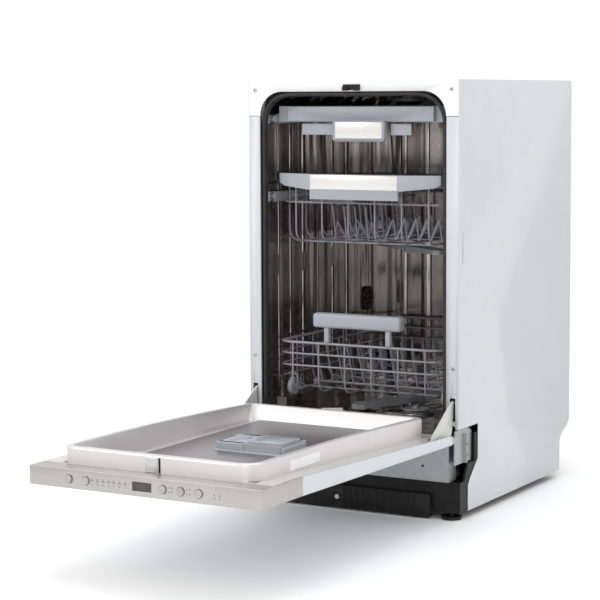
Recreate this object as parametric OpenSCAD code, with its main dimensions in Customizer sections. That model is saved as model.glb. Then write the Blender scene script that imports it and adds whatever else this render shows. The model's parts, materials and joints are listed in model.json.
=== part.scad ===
// Built-in dishwasher, 45 cm wide, with its door open and three racks.
// X runs across the front, Y from the door to the rear, Z up from the floor.

/* [Cabinet] */
// Width over the side panels
cab_w = 448; // [373:1:538]
// Height from the floor to the top rail
cab_h = 820; // [683:1:984]
// Depth of the cabinet behind its front frame
cab_d = 550; // [458:1:660]
// Thickness of the sheet steel panels
sheet = 1; // [0.8:0.1:1.5]
// Width of the front flanges of the side panels
flange_w = 25; // [22:1:30]
// Depth of the rear and top flanges
lip_d = 18; // [10:1:24]
// Height of the toe recess in the side panels
toe_h = 173.5; // [165:0.5:180]
// Depth of the toe recess at its top
toe_d = 88; // [70:1:105]
// Depth of the toe recess at the floor
toe_floor_d = 44; // [36:1:60]

/* [Tub] */
// Gap between the side panel's outer face and the tub
tub_gap = 25; // [24:1:30]
// Thickness of the tub wall
tub_t = 1; // [0.8:0.1:1.5]
// Distance from the top of the cabinet to the tub opening
tub_drop = 21; // [18:1:26]
// Height of the tub's front sill above the floor
sill_z = 164; // [160:1:166]
// Radius of the top corners of the opening
tub_r = 46; // [30:1:52]
// Height of the side ledges that carry the lower basket
ledge_z = 203; // [198:1:208]
// Width of each side ledge
ledge_w = 38; // [32:1:42]
// Front end of the side ledges
ledge_y = 30; // [27:1:40]
// Space between the tub and the rear panel
rear_gap = 24; // [18:1:40]
// Thickness of the gasket across the opening
gasket_t = 8.5; // [7:0.1:9]
// Depth of the gasket from front to rear
gasket_d = 12; // [8:1:16]
// Diameter of the sump opening
sump_d = 165; // [155:1:180]

/* [Door] */
// Distance of the hinge axis in front of the cabinet
hinge_out = 43; // [42:0.5:46]
// Height of the hinge axis
hinge_z = 154; // [152:0.5:156]
// Gap between the closed door's top edge and the top of the cabinet
door_top_gap = 2; // [1:0.5:4]
// Thickness of the door at its control panel
door_t = 32; // [28:1:36]
// Height of the door's inner face above the hinge axis
face_up = 35; // [33:0.5:37]
// Depth of the control panel from front to rear
panel_d = 127; // [110:1:150]
// Wall of the control panel
panel_t = 1.5; // [1:0.1:2.5]
// Fall of the door's inner edge towards the hinge
edge_fall = 23; // [18:1:24]
// Fall of the door's outer face towards the hinge
outer_fall = 8; // [4:1:9]
// Distance from the door's top edge to the liner rim
rim_in = 38; // [34:1:46]
// Height of the liner rim above the door's inner face
rim_h = 29; // [26:1:30]
// Width of the liner rim
rim_w = 12; // [10:1:14]
// Gap between the liner rim and the tub wall
rim_gap = 10; // [9.5:0.1:12]
// Radius of the liner's front corners
rim_r = 40; // [25:1:50]
// Depth of the liner's floor below the rim
pocket_d = 44; // [40:1:46]
// Thickness of the hinge arms
arm_t = 3; // [2:0.5:4]
// Diameter of the hinge pins
pin_d = 7; // [6:0.5:8]
// Radius of the hinge bosses
boss_r = 6; // [5.5:0.1:6.3]

/* [Controls] */
// Diameter of the buttons
button_d = 13; // [10:0.5:16]
// How far the buttons stand proud
button_out = 2.5; // [1.5:0.1:4]
// Width of the display window
display_w = 37; // [28:1:44]
// Height of the display window
display_h = 15; // [10:1:18]

/* [Racks] */
// Gap between the racks and the tub wall
rack_gap = 17; // [15:1:22]
// Diameter of the basket rim wire
rim_wire = 5; // [4:0.1:6]
// Diameter of the other wires
wire = 3.6; // [3:0.1:4.5]
// Diameter of the lower basket's wheels
wheel_d = 34; // [28:1:36]
// Width of the wheels
wheel_w = 9; // [6:0.5:10]
// Height of the lower basket
lower_h = 97; // [75:1:105]
// Height of the upper basket
upper_h = 112; // [80:1:125]
// Height of the cutlery tray
tray_h = 30; // [24:1:36]
// Distance from the tub ceiling to the top of the cutlery tray
tray_drop = 28; // [26:1:40]
// Distance from the tub ceiling to the top of the upper basket
upper_drop = 179; // [170:1:195]
// Gap between the ends of the spray arms and the side ledges
arm_gap = 10; // [6:1:30]
// Diameter of the spray arm hubs
hub_d = 16; // [12:1:20]
// Diameter of the filter cylinder
filter_d = 50; // [40:1:52]

/* [Base] */
// Height of the base tray's underside above the floor
base_z = 14; // [10:1:20]
// Height of the base tray's rim
base_h = 58; // [46:1:60]
// Wall of the base tray
base_t = 2.5; // [2:0.1:3.5]
// Diameter of a foot's plate
foot_d = 38; // [30:1:44]
// Diameter of a foot's threaded stem
stem_d = 10; // [8:1:12]

/* [Hidden] */
$fn = 48;
eps = 0.1; // overshoot of cutting solids
fit = 0.05; // running fit, on the radius
clear = 0.5; // gap between neighbours that don't touch
half_w = cab_w / 2;
tub_x = half_w - tub_gap; // outer half width of the tub
tub_in = tub_x - tub_t;
tub_top = cab_h - tub_drop; // inner ceiling of the tub
tub_rear = cab_d - rear_gap; // outer rear face of the tub
tub_back = tub_rear - tub_t;
tub_mid = tub_rear / 2 - 10; // Y of sump and spray arms
ledge_in = tub_in - ledge_w; // half width of the tub below its ledges
floor_z = sill_z - tub_t; // outer floor of the tub
hinge_y = -hinge_out;
tip_y = hinge_y - (cab_h - door_top_gap - hinge_z); // front of the open door
face_z = hinge_z + face_up; // inner face of the open door
under_z = face_z - door_t; // outer face of the open door
panel_y = tip_y + panel_d; // rear edge of the control panel
door_end = hinge_y + 21; // end of the door below the hinge
fall_y = panel_y - 20; // where the door's edge starts to fall
rim_x = tub_in - rim_gap; // half width over the liner rim
rim_y = tip_y + rim_in;
rim_end = hinge_y - 17; // liner rim next to the hinge
rim_z = face_z + rim_h;
pocket_z = rim_z - pocket_d; // upper face of the liner's floor
latch_x = -6;
strike_x = -16; // left end of the door strike
latch_w = 24;
latch_h = 28;
arm_x = half_w - 15; // inner face of a hinge arm
bracket_t = 2.5;
bracket_x = arm_x + arm_t + 2; // inner face of a hinge bracket
slot_in = arm_x - 2.5; // slot in the front flange
slot_out = bracket_x + bracket_t + 1;
slot_top = hinge_z + 78;
rack_x = tub_in - rack_gap; // half width of the racks
rack_front = 26;
rack_back = tub_back - 22;
wheel_x = rim_x - rim_w - 4 - wheel_w; // inner face of a wheel
axle_d = 6;
post_x = wheel_x - 4; // middle of a wheel's post
filter_x = 28;
filter_y = -33;
wheel_z = ledge_z + wheel_d / 2 + 0.3;
wheel_front = 72;
wheel_rear = rack_back - 48;
lower_z = ledge_z + 14; // floor wires of the lower basket
lower_top = lower_z + lower_h;
side_z = max(lower_z + 22, wheel_z + wheel_d / 2 + 7); // wire above the wheels
end_z = ledge_z - 1; // liner rim next to the hinge, under the wheels
upper_z = tub_top - upper_drop - upper_h; // floor wires of the upper basket
tray_z = tub_top - tray_drop - tray_h; // underside of the cutlery tray
rail_h = 20;
rail_y = ledge_y - 4; // front end of the racks' rails
rail_w = 7;
rail_z = upper_z + upper_h - 34; // underside of the upper rails
tray_rail_h = 18;
tray_rail_z = tub_top - tub_r - tray_rail_h + 3; // below the round corner of the tub
wing_x = rim_x - rim_w - 3; // half width of the racks' front pieces
disp_w = 142;
disp_d = 96;
disp_x = 16; // centre of the dispenser
disp_y = (rim_y + rim_end) / 2 + 2;
disp_z = pocket_z + 21; // upper face of the dispenser
button_z = (face_z + under_z) / 2;
button_xs = [-142.5, -109, 40, 74, 108];
tine_y = 120;
tine_n = 8;
tine_rows = [215, 310]; // fixed rows of tines
tine_lean = 28;
tine_rise = 80;
wire_bend = 18; // cut corner where a floor wire turns up
mat_trim = 2.2; // shortens the floor wires so that they end clear of the sides
clip_x = rack_x - 38;
shelf_x = -rack_x + 20; // axis of the cup shelf
shelf_z = upper_z + 76;
shelf_w = 92;
shelf_front = rack_front + 110;
shelf_back = rack_back - 90;
arm_lift = 12; // lower spray arm above the tub floor
vent_y = tub_back - 84;
vent_z = 358;
salt_x = -92;
salt_y = 92;
salt_d = 56; // collar of the salt cap
salt_gap = 7; // between the collar and the spray arm's tip circle
salt_reach = norm([salt_x, tub_mid - salt_y]) - salt_d / 2 - salt_gap;
arm_len = 2 * min(ledge_in - arm_gap, salt_reach); // clears the tub's ledges and the salt cap
foot_x = half_w - 26;
foot_y = 26;
rear_foot_y = cab_d - 72;
pump_x = sump_d / 2 + 5;
pump_end = half_w - 45;
base_top = base_z + base_h;
tower_z = hinge_z - 50; // side walls of the base, under the hinge brackets
shift_y = (button_out - tip_y - cab_d) / 2; // puts the origin under the middle of the whole machine

// Rectangle with round corners, centred.
module round_rect(w, h, r) {
  square([w - 2 * r, h], center = true);
  square([w, h - 2 * r], center = true);
  for (x = [-1, 1], y = [-1, 1]) translate([x * (w / 2 - r), y * (h / 2 - r)]) circle(r);
}
// Outline in Y and Z, drawn out across X from x0 to x1.
module across(x0, x1) translate([x0, 0, 0]) rotate([90, 0, 90]) linear_extrude(x1 - x0) children();
// Outline in X and Z, drawn out along Y from y0 to y1.
module along(y0, y1) translate([0, y1, 0]) rotate([90, 0, 0]) linear_extrude(y1 - y0) children();
// Box between two corners.
module box(a, b) translate(a) cube(b - a);
// Both sides of the machine.
module both() {
  children();
  mirror([1, 0, 0]) children();
}
// Straight bar between two points, longer by e at both ends.
module rod(a, b, d, e = 0, n = 6) {
  v = b - a;
  translate(a) rotate([0, acos(v[2] / norm(v)), atan2(v[1], v[0])])
    translate([0, 0, -e]) cylinder(h = norm(v) + 2 * e, d = d, $fn = n);
}
// Bar through a list of points.
module wire_path(points, d) for (i = [1:len(points) - 1]) rod(points[i - 1], points[i], d, d * 0.3);
// Closed loop of wire with cut corners in a level plane.
module wire_loop(x0, x1, y0, y1, z, r, d) wire_path([
  [x0 + r, y0, z], [x1 - r, y0, z], [x1, y0 + r, z], [x1, y1 - r, z], [x1 - r, y1, z], [x0 + r, y1, z],
  [x0, y1 - r, z], [x0, y0 + r, z], [x0 + r, y0, z]], d);
// Moves a piece from the cabinet's frame to the part's own frame.
module place() translate([0, shift_y, 0]) children();

// Side panel outline with the toe recess and the raised rear corner.
module side_outline() {
  difference() {
    polygon([
      [0, toe_h], [toe_d, toe_h], [toe_d, toe_h * 0.62], [toe_floor_d + 9, toe_h * 0.43],
      [toe_floor_d, toe_h * 0.36], [toe_floor_d, base_z], [cab_d - 53, base_z], [cab_d - 53, 78],
      [cab_d - 35, 94], [cab_d - 15, 100], [cab_d, 117], [cab_d, cab_h], [0, cab_h]]);
    translate([17, cab_h * 0.585]) square([2.5, 60]);
  }
}
module side_panel() color([0.83, 0.85, 0.86]) difference() {
  union() {
    across(half_w - sheet, half_w) side_outline();
    difference() {
      box([half_w - flange_w, 0, toe_h], [half_w, sheet, tub_top - tub_r - 1]);
      box([slot_in, -eps, toe_h - eps], [slot_out, sheet + eps, slot_top]);
      translate([half_w - 11, -eps, cab_h * 0.35]) rotate([-90, 0, 0])
        cylinder(h = sheet + 2 * eps, d = 4);
    }
    box([half_w - lip_d, cab_d - sheet, 130], [half_w, cab_d, cab_h]);
    box([half_w - lip_d, 40, cab_h - sheet], [half_w, cab_d - 40, cab_h]);
    // raised rib beside the slot
    box([half_w - 2.5, 13, cab_h * 0.585 - 4], [half_w - sheet + eps, 23, cab_h * 0.585 + 64]);
  }
  box([half_w - 3, 17, cab_h * 0.585], [half_w + eps, 19.5, cab_h * 0.585 + 60]);
}
module side_panel_right() place() side_panel();
module side_panel_left() place() mirror([1, 0, 0]) side_panel();

module front_top_rail() place() color([0.93, 0.93, 0.92]) difference() {
  union() {
    box([-half_w + sheet, 0, tub_top - tub_r], [half_w - sheet, sheet, cab_h]);
    box([-half_w + sheet + clear, 0, cab_h - sheet], [half_w - sheet - clear, 38, cab_h]);
    box([-half_w + lip_d + clear, 38 - sheet, tub_top + 8], [half_w - lip_d - clear, 38, cab_h]);
  }
  along(-eps, sheet + eps) tub_outline(0);
  for (x = [-1, 1]) translate([x * (half_w - 15), -eps, cab_h - 18])
    rotate([-90, 0, 0]) cylinder(h = sheet + 2 * eps, d = 4);
  for (x = [-130, 130]) translate([x, 20, cab_h - 2]) cylinder(h = 3, d = 4.5);
}

module rear_panel() place() color([0.72, 0.74, 0.74]) difference() {
  union() {
    box([-half_w + sheet + clear, cab_d - 2 * sheet - clear, 124],
      [half_w - sheet - clear, cab_d - sheet - clear, cab_h - 3]);
    box([-half_w + lip_d + clear, cab_d - 40, cab_h - sheet], [half_w - lip_d - clear, cab_d, cab_h]);
    box([-half_w + lip_d + clear, cab_d - 2 * sheet - clear, cab_h - 3.5],
      [half_w - lip_d - clear, cab_d, cab_h - sheet + eps]);
  }
  for (x = [-1:1], z = [0:4])
    translate([x * 90, cab_d, 260 + z * 0.14 * cab_h]) rotate([90, 0, 0])
      translate([0, 0, -eps]) linear_extrude(5) round_rect(60, 12, 5.9);
}

// Tub section across the front: t is how far it is drawn in.
module tub_outline(t) {
  translate([0, (sill_z + tub_top) / 2]) {
    translate([0, (t - tub_r) / 2]) square([2 * (tub_in - t), tub_top - sill_z - tub_r - t], center = true);
    square([2 * (tub_in - tub_r), tub_top - sill_z - 2 * t], center = true);
    for (x = [-1, 1]) translate([x * (tub_in - tub_r), (tub_top - sill_z) / 2 - tub_r]) circle(tub_r - t);
  }
}
module tub() place() color([0.55, 0.54, 0.55]) difference() {
  union() {
    difference() {
      union() {
        along(sheet + 0.2, tub_rear) tub_outline(-tub_t);
        along(sheet + 0.2, sheet + 1.2) tub_outline(-tub_t - 3);
      }
      along(0, tub_back) tub_outline(0);
    }
    for (x = [-1, 1]) translate([x < 0 ? -tub_in - eps : ledge_in, ledge_y, sill_z - eps]) difference() {
      cube([ledge_w + eps, tub_rear - ledge_y - tub_t + eps, ledge_z - sill_z + eps]);
      translate([x < 0 ? -eps : tub_t, tub_t, -1])
        cube([ledge_w - tub_t + 2 * eps, tub_rear - ledge_y, ledge_z - sill_z + 1 - tub_t]);
    }
  }
  for (x = [-1, 1])
    box([x < 0 ? -tub_in - 2 : ledge_in + tub_t, ledge_y + tub_t, floor_z - 2],
      [x < 0 ? -ledge_in - tub_t : tub_in + 2, tub_back, sill_z + 2]);
  translate([0, tub_mid, floor_z - 1]) cylinder(h = 4, d = sump_d);
  translate([salt_x, salt_y, floor_z - 1]) cylinder(h = 4, d = 52);
  translate([-tub_in - 3, vent_y, vent_z]) rotate([0, 90, 0]) cylinder(h = 6, d = 46);
}

module tub_gasket() place() color([0.2, 0.19, 0.2]) difference() {
  along(sheet + 1.2, sheet + 1.2 + gasket_d) intersection() {
    tub_outline(0);
    translate([-half_w, ledge_z]) square([cab_w, cab_h]);
  }
  along(0, 40) difference() {
    tub_outline(gasket_t);
    translate([-half_w, tub_top - 12]) square([cab_w, 40]);
  }
  along(0, 40) translate([-tub_in + gasket_t, 0]) square([2 * (tub_in - gasket_t), ledge_z + 5]);
}

module top_mat() place() color([0.16, 0.16, 0.17])
  box([-tub_x + 20, 44, tub_top + tub_t + 0.1], [tub_x - 20, cab_d - 46, tub_top + tub_t + 8]);

module lower_front_sheet() place() color([0.58, 0.61, 0.6]) difference() {
  union() {
    box([-slot_in + 3, 2, base_top + 0.5], [slot_in - 3, 2 + sheet, sill_z - 5]);
    box([-slot_in + 3, 2, sill_z - 5 - sheet], [slot_in - 3, 20, sill_z - 5]);
    both() box([slot_in - 3 - sheet, 2, base_top + 0.5], [slot_in - 3, 34, sill_z - 5]);
  }
  for (x = [-150, 150]) translate([x, 1, 100]) rotate([-90, 0, 0]) cylinder(h = 3, d = 5);
}

module base_tray() place() color([0.07, 0.07, 0.075]) difference() {
  union() {
    difference() {
      box([-half_w + sheet + clear, 12, base_z], [half_w - sheet - clear, cab_d - 58, base_top]);
      box([-half_w + sheet + clear + base_t, 12 + base_t, base_z + base_t],
        [half_w - sheet - clear - base_t, cab_d - 58 - base_t, base_top + 1]);
    }
    for (x = [-foot_x, foot_x]) translate([x, foot_y, base_z]) cylinder(h = base_h - 4, d = 22);
    translate([0, rear_foot_y, base_z]) cylinder(h = base_h - 12, d = 22);
    both() across(half_w - 6, half_w - sheet - clear) polygon([
      [30, base_top - 1], [46, tower_z], [76, tower_z], [76, 158], [100, 158], [104, base_top - 1]]);
    for (x = [-90, 90]) box([x - 1.25, 12, base_z], [x + 1.25, cab_d - 60, base_z + 14]);
  }
  for (x = [-foot_x, foot_x]) translate([x, foot_y, base_z - 1])
    cylinder(h = base_h + 2, d = stem_d + 2 * fit);
  translate([0, rear_foot_y, base_z - 1]) cylinder(h = base_h + 2, d = stem_d + 2 * fit);
}

module base_front_cover() place() color([0.08, 0.08, 0.085]) difference() {
  union() {
    box([-foot_x + 14, 1, 3], [foot_x - 34, 11.9, base_z + 33]);
    for (i = [0:11]) box([-20 + i * 14, -0.5, 6], [-17 + i * 14, 1.5, base_z + 30]);
  }
  box([-foot_x + 16.5, 3.5, -1], [foot_x - 36.5, 12, base_z + 30.5]);
  translate([-32, 0, 24]) rotate([-90, 0, 0]) cylinder(h = 12, d = 5);
}

// Fixed plate that carries the door's pivot on the right-hand side.
module hinge_bracket() {
  difference() {
    union() {
      across(bracket_x, bracket_x + bracket_t) {
        translate([hinge_y, hinge_z]) circle(boss_r);
        translate([hinge_y, hinge_z - boss_r]) square([hinge_out + 6, 2 * boss_r]);
        polygon([[2, hinge_z - 48], [74, hinge_z - 48], [74, hinge_z + 8], [60, hinge_z + 16],
          [2, hinge_z + 16]]);
      }
      box([bracket_x, 40, hinge_z - 48], [half_w - sheet - 0.1, 42, hinge_z + 8]);
      translate([arm_x - 1, hinge_y, hinge_z]) rotate([0, 90, 0])
        cylinder(h = bracket_x + bracket_t - arm_x + 1, d = pin_d);
      translate([arm_x - 3, hinge_y, hinge_z]) rotate([0, 90, 0]) cylinder(h = 2.5, d = pin_d + 4);
    }
    for (z = [hinge_z - 36, hinge_z - 16]) translate([bracket_x - 1, 58, z])
      rotate([0, 90, 0]) cylinder(h = 6, d = 5);
  }
}
module hinge_brackets() place() color([0.62, 0.64, 0.66]) both() hinge_bracket();

module door_strike() place() color([0.08, 0.08, 0.08]) union() {
  box([strike_x, -1.5, tub_top + 2], [strike_x + 36, -0.05, tub_top + 13]);
  for (x = [strike_x, strike_x + 24]) box([x, -5, tub_top + 1], [x + 12, -1.4, tub_top + 9]);
}

module screw_head(p) translate(p) rotate([90, 0, 0]) difference() {
  cylinder(h = 2, d1 = 8, d2 = 6.5, $fn = 32);
  translate([0, 0, 1]) {
    cube([5, 1, 2.2], center = true);
    cube([1, 5, 2.2], center = true);
  }
}
module frame_screws() place() color([0.75, 0.76, 0.77]) {
  for (x = [-1, 1]) {
    screw_head([x * (half_w - 15), 0, cab_h - 18]);
    screw_head([x * (half_w - 11), 0, cab_h * 0.35]);
  }
  translate([-32, 0.9, 24]) rotate([90, 0, 0]) cylinder(h = 1.3, d = 9);
}

module sump() place() color([0.12, 0.12, 0.13]) difference() {
  union() {
    translate([0, tub_mid, floor_z - 62]) cylinder(h = 62, d1 = sump_d - 18, d2 = sump_d - 3);
    translate([0, tub_mid, floor_z - 6]) cylinder(h = 5.7, d = sump_d + 16);
  }
  translate([0, tub_mid, floor_z - 59]) cylinder(h = 70, d1 = sump_d - 24, d2 = sump_d - 9);
}

module circulation_pump() place() translate([0, tub_mid + 34, floor_z - 48])
  color([0.3, 0.3, 0.32]) union() {
  translate([pump_x, 0, 0]) rotate([0, 90, 0]) cylinder(h = (pump_end - pump_x) * 0.64, d = 78);
  translate([pump_x + 10, 0, 0]) rotate([0, 90, 0]) cylinder(h = pump_end - pump_x - 10, d = 60);
  translate([pump_x + 18, 20, -32]) rotate([-90, 0, 0]) cylinder(h = 90, d = 30);
  translate([pump_x + 14, -18, base_z + base_t + 0.3 - floor_z + 48]) cube([26, 36, floor_z - base_z - 80]);
}

module drain_pump() place() color([0.25, 0.3, 0.4]) union() {
  translate([-20, tub_mid - 142, floor_z - 66]) rotate([-90, 0, 0]) cylinder(h = 58, d = 46);
  translate([-20, tub_mid - 170, floor_z - 66]) rotate([-90, 0, 0]) cylinder(h = 29, d = 34);
  box([-30, tub_mid - 160, base_z + base_t + 0.3], [-10, tub_mid - 100, floor_z - 84]);
}

module water_softener() place() color([0.88, 0.88, 0.86]) difference() {
  union() {
    box([-half_w + 32, 130, floor_z - 70], [-98, cab_d - 120, floor_z - 4]);
    translate([salt_x, salt_y, floor_z - 46]) cylinder(h = 45.5, d = 60);
    box([salt_x - 24, salt_y, floor_z - 46], [salt_x + 16, salt_y + 43, floor_z - 16]);
  }
  translate([salt_x, salt_y, floor_z - 40]) cylinder(h = 50, d = 50);
}
module salt_cap() place() color([0.85, 0.85, 0.83]) difference() {
  union() {
    translate([salt_x, salt_y, floor_z - 14]) cylinder(h = 14.5, d = 49);
    translate([salt_x, salt_y, floor_z + tub_t + 0.3]) cylinder(h = 7, d = salt_d);
    translate([salt_x, salt_y, floor_z + tub_t - 1]) cylinder(h = 2, d = 49);
    translate([salt_x, salt_y, floor_z + tub_t + 7]) rotate([0, 0, 30])
      translate([-21, -3, 0]) cube([42, 6, 7]);
  }
  translate([salt_x, salt_y, floor_z - 15]) cylinder(h = 12, d = 42);
}

module water_distributor() place() color([0.86, 0.87, 0.86]) difference() {
  box([-half_w + 5, 120, 250], [-tub_x - 3, cab_d - 60, 250 + cab_h * 0.42]);
  for (i = [1:4]) {
    z = 250 + i * cab_h * 0.084;
    box([-half_w + 4, 150, z], [-half_w + 8, cab_d - 90, z + 4]);
  }
  translate([-tub_x - 10, vent_y, vent_z]) rotate([0, 90, 0]) cylinder(h = 10, d = 40);
}

module inlet_valve() place() color([0.92, 0.92, 0.9]) difference() {
  union() {
    box([-160, cab_d - 57.5, 34], [-112, cab_d - 22, 76]);
    translate([-136, cab_d - 24, 52]) rotate([-90, 0, 0]) cylinder(h = 24, d = 26.4);
  }
  translate([-136, cab_d - 30, 52]) rotate([-90, 0, 0]) cylinder(h = 31, d = 14);
}
module drain_spigot() place() color([0.3, 0.3, 0.3]) difference() {
  union() {
    box([-70, cab_d - 57.5, 40], [-30, cab_d - 40, 80]);
    translate([-50, cab_d - 42, 60]) rotate([-90, 0, 0]) cylinder(h = 42, d = 19);
  }
  translate([-50, cab_d - 60, 60]) rotate([-90, 0, 0]) cylinder(h = 61, d = 14);
}
module mains_inlet() place() color([0.12, 0.12, 0.12]) difference() {
  union() {
    box([118, cab_d - 57.5, 36], [168, cab_d - 30, 78]);
    translate([143, cab_d - 31, 57]) rotate([-90, 0, 0]) cylinder(h = 16, d = 22);
  }
  translate([143, cab_d - 40, 57]) rotate([-90, 0, 0]) cylinder(h = 30, d = 8);
}

module feed_pipe() place() color([0.72, 0.73, 0.72]) difference() {
  union() {
    box([-11, tub_back - 13, sill_z + 4], [11, tub_back - 0.3, tub_top - 12]);
    translate([0, tub_mid, tub_top - 12.5]) cylinder(h = 12.2, d = 26);
    box([-9, tub_mid, tub_top - 12.3], [9, tub_back - 1, tub_top - 4]);
    translate([0, rack_back, upper_z - 16]) rotate([-90, 0, 0]) cylinder(h = 14, d = 24);
  }
  translate([0, tub_mid, tub_top - 13]) cylinder(h = 9, d = 10 + 2 * fit);
}

// Rollers on the right-hand wall, in the channel of a rack's rail.
module wall_rollers(z, h) {
  for (y = [rail_y + 10, rail_y + 28, tub_mid]) translate([0, y, z + h / 2]) rotate([0, 90, 0]) {
    translate([0, 0, rack_x + 2]) cylinder(h = rail_w - 2.5, d = h - 3.6);
    translate([0, 0, rack_x + 3]) cylinder(h = tub_in - rack_x - 3.3, d = 5);
    translate([0, 0, tub_in - 2.3]) cylinder(h = 2, d = h - 3);
  }
  box([tub_in - 2.3, rail_y + 2, z + 2], [tub_in - 0.3, rail_y + 36, z + h - 2]);
}
module rack_rails() place() color([0.78, 0.79, 0.8]) both() {
  wall_rollers(rail_z, rail_h);
  wall_rollers(tray_rail_z, tray_rail_h);
}
// Channel on a rack's right-hand side, open towards the wall.
module rack_channel(z, h, y0) difference() {
  box([rack_x, y0, z], [rack_x + rail_w, rack_back - 6, z + h]);
  box([rack_x + 1.4, y0 - 1, z + 1.4], [rack_x + rail_w + 1, rack_back - 7.4, z + h - 1.4]);
}

module vent_grille() place() color([0.15, 0.14, 0.15]) difference() {
  union() {
    translate([-tub_in + 0.1, vent_y, vent_z]) rotate([0, 90, 0]) cylinder(h = 4, d = 52);
    translate([-tub_in - 4, vent_y, vent_z]) rotate([0, 90, 0]) cylinder(h = 5, d = 45);
  }
  for (a = [0:60:359]) translate([-tub_in - 5, vent_y + 13 * cos(a), vent_z + 13 * sin(a)])
    rotate([0, 90, 0]) cylinder(h = 12, d = 8);
  translate([-tub_in - 5, vent_y, vent_z]) rotate([0, 90, 0]) cylinder(h = 12, d = 8);
}

module filter_plate() place() color([0.6, 0.6, 0.61]) difference() {
  union() {
    translate([0, tub_mid, sill_z + 0.2]) cylinder(h = 2, d = sump_d + 22);
    translate([0, tub_mid, sill_z + 1]) cylinder(h = arm_lift - 1.6, d = 30);
    translate([0, tub_mid, sill_z + arm_lift - 1]) cylinder(h = 11.5, d = hub_d);
  }
  translate([filter_x, tub_mid + filter_y, sill_z - 1]) cylinder(h = 6, d = filter_d + 2);
}
module filter_cylinder() place() translate([filter_x, tub_mid + filter_y, sill_z])
  color([0.75, 0.76, 0.77])
  difference() {
    union() {
      translate([0, 0, -30]) cylinder(h = 34, d = filter_d);
      translate([0, 0, 2.6]) cylinder(h = 2.4, d = filter_d + 4);
      rotate([0, 0, 20]) translate([-4.5, -14, 4]) cube([9, 28, arm_lift - 5.5]);
    }
    translate([0, 0, -31]) cylinder(h = 33, d = filter_d - 4);
  }

// Spray arm turning about its hub, seen from above at the origin.
module spray_arm(len, t, hub) difference() {
  union() {
    linear_extrude(t) polygon([
      [-len / 2 + 12, -13], [-24, -21], [24, -17], [len / 2 - 12, -19], [len / 2, -10], [len / 2, 6],
      [len / 2 - 12, 13], [24, 21], [-24, 17], [-len / 2 + 12, 19], [-len / 2, 10], [-len / 2, -6]]);
    cylinder(h = t + 5, d = hub + 12);
  }
  for (i = [1:4]) for (s = [-1, 1]) translate([s * i * len / 10, s * 4, t - 1.5]) cylinder(h = 4, d = 4);
  translate([0, 0, -1]) cylinder(h = t + 3, d = hub + 2 * fit);
}
module lower_spray_arm() place() color([0.72, 0.73, 0.73])
  translate([0, tub_mid, sill_z + arm_lift]) rotate([0, 0, 70]) spray_arm(arm_len, 10, hub_d);
module ceiling_sprinkler() place() color([0.7, 0.71, 0.71]) union() {
  translate([0, tub_mid, tub_top - 20]) cylinder(h = 7, d = 66);
  translate([0, tub_mid, tub_top - 20]) cylinder(h = 15.5, d = 10);
}

module door_springs() place() color([0.5, 0.51, 0.53]) both() {
  translate([half_w - 14, 82, base_top + 22]) rotate([-90, 0, 0]) cylinder(h = cab_d * 0.55, d = 13);
  translate([half_w - 14, 70, base_top + 22]) rotate([-90, 0, 0]) cylinder(h = 14, d = 4);
}

module foot(p, h) translate(p) union() {
  cylinder(h = 6, d = foot_d);
  translate([0, 0, 5]) cylinder(h = h, d = stem_d);
}
module front_foot_left() place() color([0.1, 0.1, 0.1]) foot([-foot_x, foot_y, 0], base_h);
module front_foot_right() place() color([0.1, 0.1, 0.1]) foot([foot_x, foot_y, 0], base_h);
module rear_foot() place() color([0.1, 0.1, 0.1]) foot([0, rear_foot_y, 0], base_h - 4);

// Door edge heights of the open door, from its top edge to the hinge.
function edge_z(y) = y < fall_y ? face_z : face_z - edge_fall * (y - fall_y) / (door_end - fall_y);
function outer_z(y) = y < panel_y ? under_z : under_z - outer_fall * (y - panel_y) / (door_end - panel_y);

module hinge_cut() both() box([slot_in - 1.5, hinge_y - 20, 0], [half_w - 4, 0, hinge_z + 13]);

module door_outer_sheet() place() color([0.84, 0.85, 0.86]) difference() {
  across(-half_w + 1.5, half_w - 1.5) polygon([
    [panel_y + 0.3, outer_z(panel_y)], [door_end, outer_z(door_end)],
    [door_end, edge_z(door_end)], [panel_y + 0.3, edge_z(panel_y)]]);
  across(-half_w + 1.5 + sheet, half_w - 1.5 - sheet) polygon([
    [panel_y - 1, outer_z(panel_y) + sheet], [door_end - sheet, outer_z(door_end) + sheet],
    [door_end - sheet, face_z + 9], [panel_y - 1, face_z + 9]]);
  hinge_cut();
  for (x = [-1, 1], y = [panel_y + 70, panel_y + 330]) translate([x * (half_w - 30), y, under_z - 20])
    cylinder(h = 40, d = 5);
}

module control_panel() place() color([0.72, 0.7, 0.68]) difference() {
  box([-half_w + 1.5, tip_y, under_z], [half_w - 1.5, panel_y, face_z]);
  box([-half_w + 1.5 + panel_t, tip_y + panel_t, under_z + panel_t],
    [half_w - 1.5 - panel_t, panel_y + 1, face_z - panel_t]);
  box([-half_w + 1.5 + panel_t, rim_y - 2, face_z - 5],
    [half_w - 1.5 - panel_t, panel_y + 1, face_z + 1]);
  for (x = button_xs) translate([x, tip_y - 1, button_z]) rotate([-90, 0, 0])
    cylinder(h = 4, d = button_d + 0.8);
  box([-display_w / 2, tip_y - 1, button_z - display_h / 2],
    [display_w / 2, tip_y + 4, button_z + display_h / 2]);
}

// Plan outline of the liner rim: t is how far it is drawn in.
module rim_outline(t) {
  x = rim_x - t;
  y0 = rim_y + t;
  y1 = rim_end - t;
  r = rim_r - t;
  translate([-x, y0 + r]) square([2 * x, y1 - y0 - r]);
  translate([-x + r, y0]) square([2 * (x - r), y1 - y0]);
  for (s = [-1, 1]) translate([s * (x - r), y0 + r]) circle(r);
}
module slab(z0, z1) translate([0, 0, z0]) linear_extrude(z1 - z0) children();

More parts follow.
